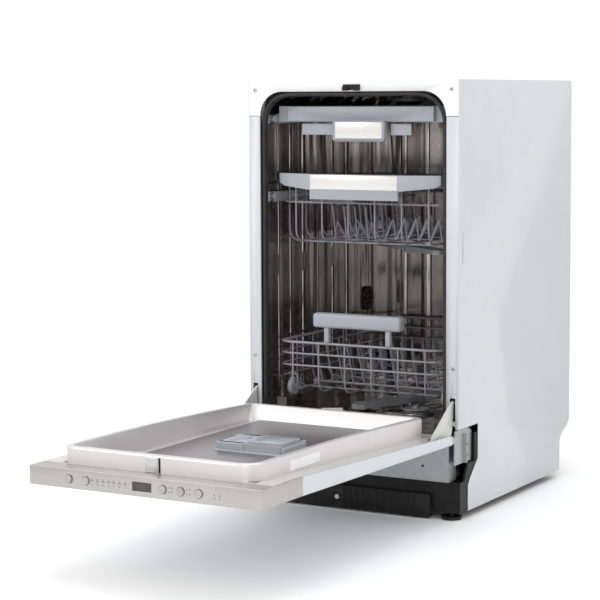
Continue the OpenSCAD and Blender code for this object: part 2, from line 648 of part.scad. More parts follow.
module door_liner() place() color([0.78, 0.77, 0.78]) difference() {
  union() {
    difference() {
      across(-half_w + 1.55 + panel_t, half_w - 1.55 - panel_t) polygon([
        [rim_y - 1.7, face_z - sheet], [fall_y, face_z - sheet], [door_end - 1.2, edge_z(door_end) - sheet],
        [door_end - 1.2, edge_z(door_end)], [fall_y, face_z], [rim_y - 1.7, face_z]]);
      slab(0, face_z + 20) rim_outline(0.5);
      both() box([slot_in - 1, hinge_y - 56, 0], [half_w, 0, face_z]);
    }
    slab(pocket_z - 8, rim_z) difference() {
      rim_outline(0);
      rim_outline(tub_t);
    }
    slab(rim_z - tub_t, rim_z) difference() {
      rim_outline(0.5);
      rim_outline(rim_w - 0.5);
    }
    slab(pocket_z - tub_t, rim_z) difference() {
      rim_outline(rim_w - tub_t);
      rim_outline(rim_w);
    }
    slab(pocket_z - tub_t, pocket_z) rim_outline(rim_w - 0.5);
    slab(end_z - tub_t, end_z) translate([-rim_x + 1, rim_end - rim_w + 0.2])
      square([2 * rim_x - 2, rim_w - 0.4]);
  }
  box([-rim_x + rim_w - 0.5, rim_end - rim_w - 2, end_z], [rim_x - rim_w + 0.5, rim_end + 2, rim_z + 1]);
  box([latch_x - latch_w / 2 - 0.5, rim_y - 2, rim_z - 5 - latch_h],
    [latch_x + latch_w / 2 + 0.5, rim_y + 3, rim_z - 4]);
  box([disp_x - disp_w / 2 + 6, disp_y - disp_d / 2 + 6, pocket_z - 5],
    [disp_x + disp_w / 2 - 6, disp_y + disp_d / 2 - 6, pocket_z + 1]);
}

module hinge_arm() across(arm_x, arm_x + arm_t) difference() {
  union() {
    translate([hinge_y, hinge_z]) circle(boss_r);
    polygon([[hinge_y - 110, hinge_z - 1], [hinge_y, hinge_z - 2], [hinge_y + 4, hinge_z - 4],
      [hinge_y + 40, hinge_z + 12], [hinge_y + 50, hinge_z + 66], [hinge_y + 46, hinge_z + 71],
      [hinge_y + 40, hinge_z + 70], [hinge_y - 40, hinge_z + 20], [hinge_y - 46, hinge_z + 11],
      [hinge_y - 110, hinge_z + 11]]);
  }
  translate([hinge_y, hinge_z]) circle(pin_d / 2 + fit);
}
module hinge_arms() place() color([0.85, 0.85, 0.82]) both() hinge_arm();

module dispenser_body() place() color([0.74, 0.74, 0.76]) difference() {
  union() {
    translate([disp_x, disp_y, 0]) slab(pocket_z + 0.1, pocket_z + 5) round_rect(disp_w, disp_d, 10);
    translate([disp_x, disp_y, 0]) slab(pocket_z + 4, disp_z) round_rect(disp_w - 14, disp_d - 14, 8);
    translate([disp_x, disp_y, 0]) slab(under_z + 4, pocket_z + 1)
      round_rect(disp_w - 16, disp_d - 16, 6);
  }
  // washing powder bowl
  translate([disp_x + 26, disp_y, 0]) slab(under_z + 7, disp_z + 1) round_rect(62, 60, 12);
  // rinse aid filler
  translate([disp_x - 42, disp_y + 10, disp_z - 8]) cylinder(h = 9, d = 34 + 2 * 0.3);
}
module dispenser_lid() place() color([0.82, 0.82, 0.84]) union() {
  translate([disp_x + 26, disp_y, 0]) slab(disp_z + 0.3, disp_z + 3) round_rect(72, 70, 8);
  translate([disp_x + 26 - 24, disp_y - 12, 0]) slab(disp_z + 2, disp_z + 7) round_rect(10, 34, 3);
}
module rinse_aid_cap() place() color([0.86, 0.86, 0.88]) union() {
  translate([disp_x - 42, disp_y + 10, disp_z - 7.5]) cylinder(h = 8.5, d = 34);
  translate([disp_x - 42 - 14, disp_y + 10 - 2.5, disp_z]) cube([28, 5, 5]);
}

module display_window() place() color([0.05, 0.05, 0.06])
  box([-display_w / 2 + 0.15, tip_y + 0.2, button_z - display_h / 2 + 0.15],
    [display_w / 2 - 0.15, tip_y + 3.5, button_z + display_h / 2 - 0.15]);

module door_latch() place() color([0.6, 0.62, 0.65]) union() {
  box([latch_x - latch_w / 2, rim_y - 1.5, rim_z - 4.5 - latch_h],
    [latch_x + latch_w / 2, rim_y + 5, rim_z - 4.5]);
  box([latch_x - latch_w / 2 + 4, rim_y + 4, rim_z - latch_h],
    [latch_x + latch_w / 2 - 4, rim_y + 7.5, rim_z - 9]);
}

module button(x) place() translate([x, tip_y, button_z]) rotate([-90, 0, 0])
  color([0.8, 0.79, 0.78]) union() {
  translate([0, 0, -button_out]) cylinder(h = button_out + 4, d = button_d);
  translate([0, 0, 3.5]) cylinder(h = 2, d = button_d + 3);
}
module button_power() button(button_xs[0]);
module button_programme() button(button_xs[1]);
module button_timer() button(button_xs[2]);
module button_options() button(button_xs[3]);
module button_start() button(button_xs[4]);

// Wire basket: floor and sides of U-shaped wires, welded to loops. The cross wires start m from
// the ends.
module basket_sides(z, h, nx, ny, front, m, loops) {
  x = rack_x - 4;
  c = wire_bend;
  wire_loop(-x, x, front, rack_back, z + h, 26, rim_wire);
  for (drop = loops) wire_loop(-x, x, front, rack_back, z + h - drop, 26, wire);
  for (i = [0:ny - 1]) {
    y = front + m + i * (rack_back - front - 2 * m) / (ny - 1);
    both() wire_path([[x, y, z + h], [x, y, z + c], [x - c, y, z]], wire);
  }
  for (i = [0:nx - 1]) {
    u = -x + 34 + i * (2 * x - 68) / (nx - 1);
    wire_path([[u, front, z + h], [u, front, z + c], [u, front + c, z + 2]], wire);
    wire_path([[u, rack_back, z + h], [u, rack_back, z + c], [u, rack_back - c, z + 2]], wire);
  }
}
module basket_mat(z, nx, ny, front, m, trim) {
  x = rack_x - 4;
  c = wire_bend + trim;
  for (i = [0:ny - 1]) {
    y = front + m + i * (rack_back - front - 2 * m) / (ny - 1);
    rod([-x + c, y, z], [x - c, y, z], wire);
  }
  for (i = [0:nx - 1]) {
    u = -x + 34 + i * (2 * x - 68) / (nx - 1);
    rod([u, front + c, z + 2], [u, rack_back - c, z + 2], wire);
  }
}
module lower_basket() place() color([0.6, 0.6, 0.62]) {
  basket_sides(lower_z, lower_h, 6, 6, rack_front, 76, [22, 45]);
  both() rod([rack_x - 4, rack_front + 26, side_z], [rack_x - 4, rack_back - 26, side_z], wire);
  for (y = [wheel_front, wheel_rear]) both() {
    rod([rack_x - 4, y, side_z], [post_x, y, side_z], 5, 2);
    rod([post_x, y, wheel_z - 4], [post_x, y, side_z], 6);
    translate([post_x - 1, y, wheel_z]) rotate([0, 90, 0]) cylinder(h = wheel_w + 4, d = axle_d);
  }
}
module lower_basket_floor() place() color([0.6, 0.6, 0.62]) {
  basket_mat(lower_z, 6, 6, rack_front, 76, mat_trim);
  for (y = tine_rows) tine_row(y, lower_z + 2 + wire + 0.1);
  both() difference() {
    box([clip_x - 4, tine_y - 5, lower_z + 4], [clip_x + 4, tine_y + 5, lower_z + 14]);
    translate([0, tine_y, lower_z + 9]) rotate([0, 90, 0]) cylinder(h = rack_x, d = wire + 2 * fit);
  }
}
module tine_row(y, z) {
  translate([-clip_x - 7, y, z]) rotate([0, 90, 0]) cylinder(h = 2 * clip_x + 14, d = wire);
  for (i = [0:tine_n - 1]) {
    u = (clip_x - 14) * (2 * i / (tine_n - 1) - 1);
    rod([u, y, z], [u, y - tine_lean, z + tine_rise], wire);
  }
}
module lower_tines() place() color([0.6, 0.6, 0.62]) tine_row(tine_y, lower_z + 9);
module lower_handle() place() color([0.78, 0.78, 0.79]) union() {
  box([-94, rack_front - 10, lower_top + 32], [94, rack_front + 16, lower_top + 60]);
  for (x = [-66, 66])
    box([x - 5, rack_front - 5, lower_top + 2.7], [x + 5, rack_front + 6, lower_top + 33]);
}
module wheel_pair(y) color([0.7, 0.7, 0.68]) both() difference() {
  translate([wheel_x, y, wheel_z]) rotate([0, 90, 0]) cylinder(h = wheel_w, d = wheel_d);
  translate([wheel_x - 1, y, wheel_z]) rotate([0, 90, 0]) cylinder(h = wheel_w + 2, d = axle_d + 2 * fit);
  translate([wheel_x + wheel_w - 2, y, wheel_z]) rotate([0, 90, 0]) difference() {
    cylinder(h = 3, d = wheel_d - 6);
    cylinder(h = 3, d = 12);
  }
}
module front_wheels() place() wheel_pair(wheel_front);
module rear_wheels() place() wheel_pair(wheel_rear);

module upper_basket() place() color([0.6, 0.6, 0.62]) union() {
  basket_sides(upper_z, upper_h, 6, 7, rack_front + 16, 34, [34]);
  basket_mat(upper_z, 6, 7, rack_front + 16, 34, 0);
  both() rack_channel(rail_z, rail_h, rail_y);
  both() box([rack_x - 5, rack_front + 70, rail_z + 6], [rack_x + 0.5, rack_back - 40, rail_z + 14]);
  // water pipe with the spray arm's pivot
  box([-12, tub_mid - 12, upper_z - 13], [12, rack_back - 0.5, upper_z + 1]);
  translate([0, tub_mid, upper_z - 26]) cylinder(h = 14, d = hub_d);
}
module upper_front() place() color([0.78, 0.78, 0.79]) union() {
  top = upper_z + upper_h;
  intersection() {
    along(rack_front - 20, rack_front + 14) polygon([[-wing_x, top + 22], [-wing_x, top + 4],
      [-wing_x + 12, top - 2], [-98, top - 8], [98, top - 8], [wing_x - 12, top - 2],
      [wing_x, top + 4], [wing_x, top + 22]]);
    slab(top - 10, top + 24) polygon([[-wing_x, rack_front + 4], [-98, rack_front - 18],
      [98, rack_front - 18], [wing_x, rack_front + 4], [wing_x, rack_front + 12],
      [95, rack_front - 10], [-95, rack_front - 10], [-wing_x, rack_front + 12]]);
  }
  box([-94, rack_front - 18, top - 26], [94, rack_front - 10, top - 7.9]);
  both() box([70, rack_front - 11, top - 8], [80, rack_front + 13.4, top + 4]);
}
module upper_spray_arm() place() color([0.66, 0.67, 0.68])
  translate([0, tub_mid, upper_z - 16]) mirror([0, 0, 1]) rotate([0, 0, -38])
    spray_arm(arm_len, 9, hub_d);
module height_levers() place() color([0.76, 0.76, 0.77]) both() difference() {
  box([rack_x - 14, 190, rail_z + 10], [rack_x - 7.5, 250, rail_z + 38]);
  box([rack_x - 15, 205, rail_z + 18], [rack_x - 6, 235, rail_z + 26]);
}
module cup_shelf() place() color([0.62, 0.62, 0.64]) union() {
  rod([shelf_x, shelf_front, shelf_z], [shelf_x, shelf_back, shelf_z], 4, 2, 24);
  rod([shelf_x + shelf_w, shelf_front, shelf_z], [shelf_x + shelf_w, shelf_back, shelf_z], 4, 2);
  for (i = [0:6]) {
    y = shelf_front + i * (shelf_back - shelf_front) / 6;
    rod([shelf_x, y, shelf_z], [shelf_x + shelf_w, y, shelf_z], 4);
  }
}

module cutlery_tray() place() color([0.72, 0.72, 0.73]) difference() {
  union() {
    difference() {
      box([-rack_x, rack_front + 18, tray_z], [rack_x, rack_back, tray_z + tray_h]);
      box([-rack_x + 2, rack_front + 20, tray_z + 2], [rack_x - 2, rack_back - 2, tray_z + tray_h + 1]);
    }
    for (x = [-60, 60]) box([x - 1, rack_front + 18, tray_z], [x + 1, rack_back - 1, tray_z + 16]);
    both() rack_channel(tray_rail_z, tray_rail_h, rack_front + 18);
  }
  for (x = [-116, 0, 116], i = [0:8])
    box([x - 44, rack_front + 50 + i * (rack_back - rack_front - 90) / 8, tray_z - 1],
      [x + 44, rack_front + 62 + i * (rack_back - rack_front - 90) / 8, tray_z + 5]);
}
module cutlery_front() place() color([0.8, 0.8, 0.81]) union() {
  box([-156, rack_front + 8, tray_z + 2], [156, rack_front + 17.9, tray_z + tray_h - 1]);
  translate([0, 0, tray_z - 16]) along(rack_front + 4, rack_front + 14) round_rect(112, 42, 8);
}

side_panel_left();
side_panel_right();
front_top_rail();
rear_panel();
tub();
tub_gasket();
top_mat();
lower_front_sheet();
base_tray();
base_front_cover();
hinge_brackets();
door_strike();
frame_screws();
sump();
circulation_pump();
drain_pump();
water_softener();
water_distributor();
inlet_valve();
drain_spigot();
mains_inlet();
feed_pipe();
rack_rails();
vent_grille();
filter_plate();
door_springs();
front_foot_left();
front_foot_right();
rear_foot();
salt_cap();
filter_cylinder();
lower_spray_arm();
ceiling_sprinkler();
door_outer_sheet();
control_panel();
door_liner();
hinge_arms();
dispenser_body();
display_window();
door_latch();
dispenser_lid();
rinse_aid_cap();
button_power();
button_programme();
button_timer();
button_options();
button_start();
lower_basket();
lower_basket_floor();
lower_handle();
lower_tines();
front_wheels();
rear_wheels();
upper_basket();
upper_front();
upper_spray_arm();
height_levers();
cup_shelf();
cutlery_tray();
cutlery_front();
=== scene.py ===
# Built-in dishwasher with its door open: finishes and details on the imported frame.
import json
import math
import bpy
import bmesh
from mathutils import Matrix, Vector


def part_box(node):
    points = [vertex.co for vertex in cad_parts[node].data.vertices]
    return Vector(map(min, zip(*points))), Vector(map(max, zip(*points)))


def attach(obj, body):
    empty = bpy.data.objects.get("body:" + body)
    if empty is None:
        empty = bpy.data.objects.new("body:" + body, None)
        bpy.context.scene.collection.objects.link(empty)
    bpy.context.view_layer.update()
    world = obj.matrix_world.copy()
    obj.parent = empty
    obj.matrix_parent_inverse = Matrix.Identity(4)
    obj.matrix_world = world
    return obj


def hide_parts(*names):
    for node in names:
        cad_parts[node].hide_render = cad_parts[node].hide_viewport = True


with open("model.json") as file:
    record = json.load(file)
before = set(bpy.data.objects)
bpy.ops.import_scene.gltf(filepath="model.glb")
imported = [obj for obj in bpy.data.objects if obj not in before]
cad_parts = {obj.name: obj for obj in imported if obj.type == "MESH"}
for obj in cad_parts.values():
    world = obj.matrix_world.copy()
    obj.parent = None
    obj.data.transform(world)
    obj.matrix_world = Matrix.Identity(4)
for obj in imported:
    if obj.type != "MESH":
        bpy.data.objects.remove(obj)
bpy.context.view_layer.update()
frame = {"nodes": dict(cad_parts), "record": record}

nodes = frame["nodes"]
bodyOf = {n: b for b, members in frame["record"]["behaviour"]["bodies"].items() for n in members}
slotOf = {s["node"]: s["material_slot"] for s in frame["record"]["subparts"]}
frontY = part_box("side_panel_right")[0].y  # front face of the cabinet


def at(x, y, z):  # millimetres from the front of the cabinet, in the frame's metres
    return Vector((x / 1000, frontY + y / 1000, z / 1000))


def cornersOf(name):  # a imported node's box, in those millimetres
    low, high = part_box(name)
    shift = Vector((0, frontY, 0))
    return (low - shift) * 1000, (high - shift) * 1000


# Finishes

def addNode(tree, kind, **values):
    made = tree.nodes.new(kind)
    for key, value in values.items():
        if key in made.inputs:
            made.inputs[key].default_value = value
        else:
            setattr(made, key, value)
    return made


def finish(name, colour, other=None, rough=0.5, spread=0.08, metal=0.0, patch=14.0, grain=900.0,
           depth=0.04, stretch=(1, 1, 1), edge=0.0, coat=0.0, sheen=0.0, detail=4.0,
           shine=0.5):
    mat = bpy.data.materials.new(name)
    mat.use_nodes = True
    tree = mat.node_tree
    shader = tree.nodes["Principled BSDF"]
    shader.inputs["Metallic"].default_value = metal
    shader.inputs["Coat Weight"].default_value = coat
    shader.inputs["Coat Roughness"].default_value = 0.12
    shader.inputs["Sheen Weight"].default_value = sheen
    shader.inputs["Specular IOR Level"].default_value = shine
    place = addNode(tree, "ShaderNodeTexCoord")
    lay = addNode(tree, "ShaderNodeMapping", Scale=stretch)
    tree.links.new(place.outputs["Object"], lay.inputs["Vector"])
    blotch = addNode(tree, "ShaderNodeTexNoise", Scale=patch, Detail=3.0, Roughness=0.55)
    tree.links.new(place.outputs["Object"], blotch.inputs["Vector"])
    fine = addNode(tree, "ShaderNodeTexNoise", Scale=grain, Detail=detail, Roughness=0.6)
    tree.links.new(lay.outputs["Vector"], fine.inputs["Vector"])
    blend = addNode(tree, "ShaderNodeMix", data_type="FLOAT")
    blend.inputs[0].default_value = 0.5
    tree.links.new(blotch.outputs["Fac"], blend.inputs[2])
    tree.links.new(fine.outputs["Fac"], blend.inputs[3])
    ramp = addNode(tree, "ShaderNodeValToRGB")
    lighter = other or tuple(min(1.0, c * 1.07 + 0.006) for c in colour)
    ramp.color_ramp.elements[0].position = 0.36
    ramp.color_ramp.elements[0].color = (*colour, 1)
    ramp.color_ramp.elements[1].position = 0.66
    ramp.color_ramp.elements[1].color = (*lighter, 1)
    tree.links.new(blend.outputs[0], ramp.inputs["Fac"])
    tree.links.new(ramp.outputs["Color"], shader.inputs["Base Color"])
    vary = addNode(tree, "ShaderNodeMapRange")
    vary.inputs["From Min"].default_value = 0.32
    vary.inputs["From Max"].default_value = 0.68
    vary.inputs["To Min"].default_value = max(0.03, rough - spread)
    vary.inputs["To Max"].default_value = min(1.0, rough + spread)
    tree.links.new(blend.outputs[0], vary.inputs["Value"])
    tree.links.new(vary.outputs["Result"], shader.inputs["Roughness"])
    bump = addNode(tree, "ShaderNodeBump", Strength=0.4, Distance=depth / 1000)
    tree.links.new(fine.outputs["Fac"], bump.inputs["Height"])
    if edge:
        worn = addNode(tree, "ShaderNodeBevel", Radius=edge / 1000)
        worn.samples = 4
        tree.links.new(worn.outputs["Normal"], bump.inputs["Normal"])
    tree.links.new(bump.outputs["Normal"], shader.inputs["Normal"])
    return mat


def galvanisedFinish(name, colour):  # zinc crystals a few millimetres across
    mat = finish(name, colour, rough=0.42, spread=0.1, metal=0.75, patch=30, grain=500, depth=0.02, edge=0.5)
    tree = mat.node_tree
    place = next(n for n in tree.nodes if n.type == "TEX_COORD")
    ramp = next(n for n in tree.nodes if n.type == "VALTORGB")
    spangle = addNode(tree, "ShaderNodeTexVoronoi", Scale=160.0)
    tree.links.new(place.outputs["Object"], spangle.inputs["Vector"])
    grey = addNode(tree, "ShaderNodeSeparateColor")
    tree.links.new(spangle.outputs["Color"], grey.inputs[0])
    tone = addNode(tree, "ShaderNodeMix", data_type="FLOAT")
    tone.inputs[0].default_value = 0.5
    tree.links.new(grey.outputs[0], tone.inputs[2])
    tree.links.new(ramp.inputs["Fac"].links[0].from_socket, tone.inputs[3])
    tree.links.new(tone.outputs[0], ramp.inputs["Fac"])
    return mat


finishes = {
    "painted_panel": finish("paintedSheet", (0.53, 0.555, 0.585), rough=0.36, spread=0.05, grain=1400,
                            depth=0.03, edge=0.5, coat=0.25),
    "white_rail": finish("whiteRail", (0.74, 0.745, 0.75), rough=0.35, spread=0.05, grain=1400, depth=0.03,
                         edge=0.5, coat=0.25),
    "galvanised": galvanisedFinish("galvanisedSheet", (0.36, 0.39, 0.385)),
    # dark base colour is painted shade inside the tub; the lighter vertical streaks are painted reflections
    "tub_steel": finish("polishedTubPaintedShade", (0.36, 0.335, 0.325), (0.47, 0.445, 0.435), rough=0.13, spread=0.05,
                        metal=1.0, patch=9, grain=17, depth=22, stretch=(1, 1, 0.07), detail=1.0),
    "liner_steel": finish("satinLiner", (0.60, 0.585, 0.585), (0.68, 0.665, 0.665), rough=0.40, spread=0.06,
                          metal=0.55, patch=7, grain=420, depth=0.03, stretch=(1, 4, 1)),
    "panel_steel": finish("brushedPanel", (0.40, 0.38, 0.365), (0.48, 0.46, 0.445), rough=0.34, spread=0.08,
                          metal=0.85, patch=6, grain=240, depth=0.04, stretch=(0.04, 6, 6)),
    "black_plastic": finish("blackPlastic", (0.008, 0.0075, 0.0075), (0.018, 0.016, 0.016), rough=0.42,
                            spread=0.12, patch=40, grain=1500, depth=0.08, edge=0.7, shine=0.2),
    "grey_plastic": finish("greyPlastic", (0.33, 0.345, 0.375), rough=0.42, spread=0.06, grain=1300,
                           depth=0.05, edge=0.8),
    "white_plastic": finish("whitePlastic", (0.72, 0.72, 0.70), rough=0.4, spread=0.06, grain=1300,
                            depth=0.05, edge=0.8),
    "wire_coating": finish("coatedWire", (0.20, 0.20, 0.225), (0.27, 0.27, 0.30), rough=0.3, spread=0.08,
                           grain=700, depth=0.04, coat=0.3),
    "arm_plastic": finish("armPlastic", (0.24, 0.245, 0.26), rough=0.4, spread=0.08, grain=1300, depth=0.05,
                          edge=0.8),
    "seal_rubber": finish("sealRubber", (0.012, 0.010, 0.011), (0.028, 0.024, 0.025), rough=0.34, spread=0.1,
                          patch=60, grain=1600, depth=0.06, shine=0.35),
    "display_glass": finish("displayGlass", (0.012, 0.008, 0.008), (0.03, 0.018, 0.017), rough=0.1,
                            spread=0.04, grain=900, depth=0.005, coat=0.6),
    "button_metal": finish("buttonMetal", (0.36, 0.34, 0.33), (0.46, 0.44, 0.43), rough=0.28, spread=0.06,
                           metal=0.8, patch=60, grain=1500, depth=0.02, edge=0.6),
    "felt_mat": finish("pressedFelt", (0.03, 0.03, 0.033), (0.07, 0.068, 0.07), rough=0.9, spread=0.08,
                       patch=60, grain=1600, depth=0.5, sheen=0.5),
    "pump_plastic": finish("pumpPlastic", (0.05, 0.053, 0.06), (0.08, 0.083, 0.09), rough=0.45, spread=0.1,
                           grain=1400, depth=0.06, edge=0.8),
    "screw_steel": finish("zincScrew", (0.52, 0.53, 0.54), (0.62, 0.62, 0.62), rough=0.3, spread=0.08,
                          metal=0.85, patch=120, grain=1500, depth=0.02, edge=0.3),
    "hinge_paint": finish("hingePaint", (0.52, 0.53, 0.49), (0.60, 0.61, 0.57), rough=0.4, spread=0.08,
                          grain=900, depth=0.04, edge=0.6, coat=0.2),
}
extraFinishes = {
    # dark colour for the pan's hollow: painted shade and painted reflection of the dark tub
    "linerHollowPaintedShade": finish("linerHollowPaintedShade", (0.235, 0.22, 0.235), (0.30, 0.285, 0.295), rough=0.34, spread=0.07,
                          metal=0.8, patch=5, grain=320, depth=0.05, stretch=(1, 3, 1)),
    "satinInsert": finish("satinInsert", (0.66, 0.65, 0.63), (0.76, 0.75, 0.73), rough=0.3, spread=0.06,
                          metal=0.7, patch=9, grain=260, depth=0.02, stretch=(0.05, 5, 5)),
    "darkPrint": finish("darkPrint", (0.10, 0.095, 0.095), rough=0.6, spread=0.05, patch=90, depth=0.005),
    "paleLabel": finish("paleLabel", (0.74, 0.74, 0.745), (0.82, 0.82, 0.82), rough=0.5, spread=0.05,
                        patch=40, grain=1200, depth=0.01),
    "greyPrint": finish("greyPrint", (0.42, 0.42, 0.43), rough=0.6, spread=0.05, patch=90, depth=0.005),
    "blueClip": finish("blueClip", (0.03, 0.05, 0.22), (0.05, 0.07, 0.30), rough=0.4, grain=900, depth=0.03),
}
for nodeName, packed in nodes.items():
    packed.data.materials.clear()
    packed.data.materials.append(finishes[slotOf[nodeName]])
print("finishes on", len(nodes), "nodes")


# Making pieces

def makePiece(name, bm, body, slotName, mats=None, replaced=(), sharp=38):
    bmesh.ops.recalc_face_normals(bm, faces=bm.faces)
    mesh = bpy.data.meshes.new(name)
    bm.to_mesh(mesh)
    bm.free()
    return placePiece(name, mesh, body, slotName, mats, replaced, sharp)


def placePiece(name, mesh, body, slotName, mats=None, replaced=(), sharp=38):
    mesh.materials.clear()
    for mat in mats or [finishes[slotName]]:
        mesh.materials.append(mat)
    mesh.polygons.foreach_set("use_smooth", [True] * len(mesh.polygons))
    mesh.set_sharp_from_angle(angle=math.radians(sharp))
    piece = bpy.data.objects.new(name, mesh)
    bpy.context.scene.collection.objects.link(piece)
    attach(piece, body)
    if replaced:
        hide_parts(*replaced)
    return piece


def softBox(bm, low, high, width=0.8, segments=2, paint=0):
    before = set(bm.faces)
    made = bmesh.ops.create_cube(bm, size=1)
    size, middle = (high - low), (high + low) / 2
    bmesh.ops.scale(bm, verts=made["verts"], vec=size)
    bmesh.ops.translate(bm, verts=made["verts"], vec=middle)
    edges = list({e for v in made["verts"] for e in v.link_edges})
    if width:
        bmesh.ops.bevel(bm, geom=edges, offset=width / 1000, offset_type="OFFSET", segments=segments,
                        profile=0.5, affect="EDGES", clamp_overlap=True, material=-1)
    for face in set(bm.faces) - before:
        face.material_index = paint


def cylinderAt(bm, middle, axis, radius, length, sides=32, paint=0, bevelWidth=0.0, radius2=None):
    before = set(bm.faces)
    turn = Vector((0, 0, 1)).rotation_difference(Vector(axis)).to_matrix().to_4x4()
    made = bmesh.ops.create_cone(bm, cap_ends=True, segments=sides, radius1=radius / 1000,
                                 radius2=(radius if radius2 is None else radius2) / 1000,
                                 depth=length / 1000, matrix=Matrix.Translation(middle) @ turn)
    if bevelWidth:
        rims = [e for e in {e for v in made["verts"] for e in v.link_edges}
                if any(len(f.verts) > 4 for f in e.link_faces)]
        bmesh.ops.bevel(bm, geom=rims, offset=bevelWidth / 1000, offset_type="OFFSET", segments=3,
                        profile=0.5, affect="EDGES", clamp_overlap=True, material=-1)
    for face in set(bm.faces) - before:
        face.material_index = paint


def bentRun(points, bend, closed=False, steps=5):  # rounds the corners of a path
    count = len(points)
    run = []
    for i, point in enumerate(points):
        if not closed and i in (0, count - 1):
            run.append(point)
            continue
        back, ahead = points[i - 1] - point, points[(i + 1) % count] - point
        reach = min(bend / 1000, back.length * 0.45, ahead.length * 0.45)
        a, b = point + back.normalized() * reach, point + ahead.normalized() * reach
        for k in range(steps + 1):
            t = k / steps
            run.append(a * (1 - t) ** 2 + point * 2 * t * (1 - t) + b * t ** 2)
    return run


def wireMesh(name, runs, radius, closed=False, fineness=1):
    curve = bpy.data.curves.new(name, "CURVE")
    curve.dimensions = "3D"
    curve.bevel_depth = radius / 1000
    curve.bevel_resolution = fineness
    curve.use_fill_caps = True
    for run in runs:
        spline = curve.splines.new("POLY")
        spline.points.add(len(run) - 1)
        for knot, point in zip(spline.points, run):
            knot.co = (*point, 1)
        spline.use_cyclic_u = closed
    holder = bpy.data.objects.new(name, curve)
    bpy.context.scene.collection.objects.link(holder)
    bpy.context.view_layer.update()
    mesh = bpy.data.meshes.new_from_object(holder.evaluated_get(bpy.context.evaluated_depsgraph_get()))
    bpy.data.objects.remove(holder)
    return mesh


def addMesh(bm, mesh, paint=0):
    before = set(bm.faces)
    bm.from_mesh(mesh)
    bpy.data.meshes.remove(mesh)
    for face in set(bm.faces) - before:
        face.material_index = paint


def roundedCopy(name, width, shortest, segments=2, piece=None):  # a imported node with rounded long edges
    bm = bmesh.new()
    bm.from_mesh(nodes[name].data)
    bmesh.ops.remove_doubles(bm, verts=bm.verts, dist=1e-6)
    bmesh.ops.dissolve_limit(bm, angle_limit=0.01, verts=bm.verts, edges=bm.edges)
    edges = [e for e in bm.edges if len(e.link_faces) == 2 and e.is_convex
             and e.calc_length() > shortest / 1000 and e.calc_face_angle(0) > 0.7]
    bmesh.ops.bevel(bm, geom=edges, offset=width / 1000, offset_type="OFFSET", segments=segments,
                    profile=0.5, affect="EDGES", clamp_overlap=True, material=-1)
    bmesh.ops.triangulate(bm, faces=[f for f in bm.faces if len(f.verts) > 4])
    return makePiece(piece or name + "Rounded", bm, bodyOf[name], slotOf[name], replaced=[name])


# Door liner: a deep drawn steel pan with a rounded rim

linerSizes = {"halfWidth": 188, "front": -669, "rear": -60, "rightRadius": 38, "leftRadius": 27,
              "rearRadius": 26, "base": 184, "top": 218, "floor": 174, "fall": 14.5}


def makeLiner(s):
    bm = bmesh.new()
    x, y0, y1 = s["halfWidth"], s["front"], s["rear"]
    verts = [bm.verts.new(at(*p, s["base"])) for p in ((-x, y0), (x, y0), (x, y1), (-x, y1))]
    bm.faces.new(verts)
    for pair, radius in ((verts[:1], s["leftRadius"]), (verts[1:2], s["rightRadius"]),
                         (verts[2:], s["rearRadius"])):
        bmesh.ops.bevel(bm, geom=pair, offset=radius / 1000, offset_type="OFFSET", segments=12,
                        profile=0.5, affect="VERTICES", material=-1)
    floor = max(bm.faces, key=lambda f: f.calc_area())
    steps = [(0, 213), (0.4, 214.9), (1.5, 216.6), (3.1, 217.6), (5.2, s["top"]), (9.5, s["top"]),
             (11.6, 217.4), (12.8, 215.8), (13.4, 213), (17.0, 182), (17.9, 178.6), (20.2, 175.7),
             (24.0, s["floor"])]
    inset, height = 0.0, s["base"]
    for newInset, newHeight in steps:
        bmesh.ops.inset_region(bm, faces=[floor], thickness=max(newInset - inset, 0.002) / 1000,
                               use_boundary=True, use_even_offset=True)
        bmesh.ops.translate(bm, verts=floor.verts, vec=(0, 0, (newHeight - height) / 1000))
        inset, height = newInset, newHeight
    for cut in (-60, -150, -240, -330, -420, -510, -600):
        bmesh.ops.bisect_plane(bm, geom=bm.verts[:] + bm.edges[:] + bm.faces[:], plane_co=at(0, cut, 0),
                               plane_no=(0, 1, 0))
    rear = at(0, s["rear"], 0).y
    front = at(0, s["front"], 0).y
    inner = s["halfWidth"] / 1000 - 0.0125
    for v in bm.verts:
        hollow = abs(v.co.x) < inner and front + 0.0125 < v.co.y < rear - 0.0125
        if hollow and v.co.z < 0.1835 and v.co.y > rear - 0.03:  # a long slope at the hinge end
            v.co.y -= 0.016
        if hollow and v.co.z < 0.1835 and v.co.y < front + 0.14 and abs(v.co.x) > 0.11:
            along = max(0.0, min(1.0, (v.co.y - front - 0.02) / 0.12))  # slanted facets in the corners
            v.co.x = math.copysign(min(abs(v.co.x), 0.118 + 0.05 * along), v.co.x)
        if abs(v.co.z * 1000 - s["base"]) < 0.1:  # the foot of the wall follows the falling border
            v.co.z = (s["base"] - 0.04 * max(0.0, v.co.y - front - 0.069) * 1000) / 1000
        share = max(0.0, min(1.0, (v.co.z * 1000 - s["base"]) / (s["top"] - s["base"])))
        along = max(0.0, (v.co.y - front - 0.069) / (rear - front - 0.069))
        v.co.z -= s["fall"] / 1000 * share * along ** 2
    for face in bm.faces:  # the hollow gets a darker colour: painted shade and painted reflection of the dark tub
        middle = face.calc_center_median()
        if abs(middle.x) < inner and front + 0.0125 < middle.y < rear - 0.0125 and face.normal.z > -0.5:
            face.material_index = 1
    return makePiece("linerPan", bm, "door", "liner_steel",
                     [finishes["liner_steel"], extraFinishes["linerHollowPaintedShade"]],
                     replaced=["door_liner"], sharp=50)


makeLiner(linerSizes)

flangeSizes = {"halfWidth": 221, "front": -670.5, "fall": -600, "end": -23.4, "high": 189.4, "low": 166.4,
               "cutWidth": 204.5, "cutStart": -100, "inner": 186, "thickness": 0.8}


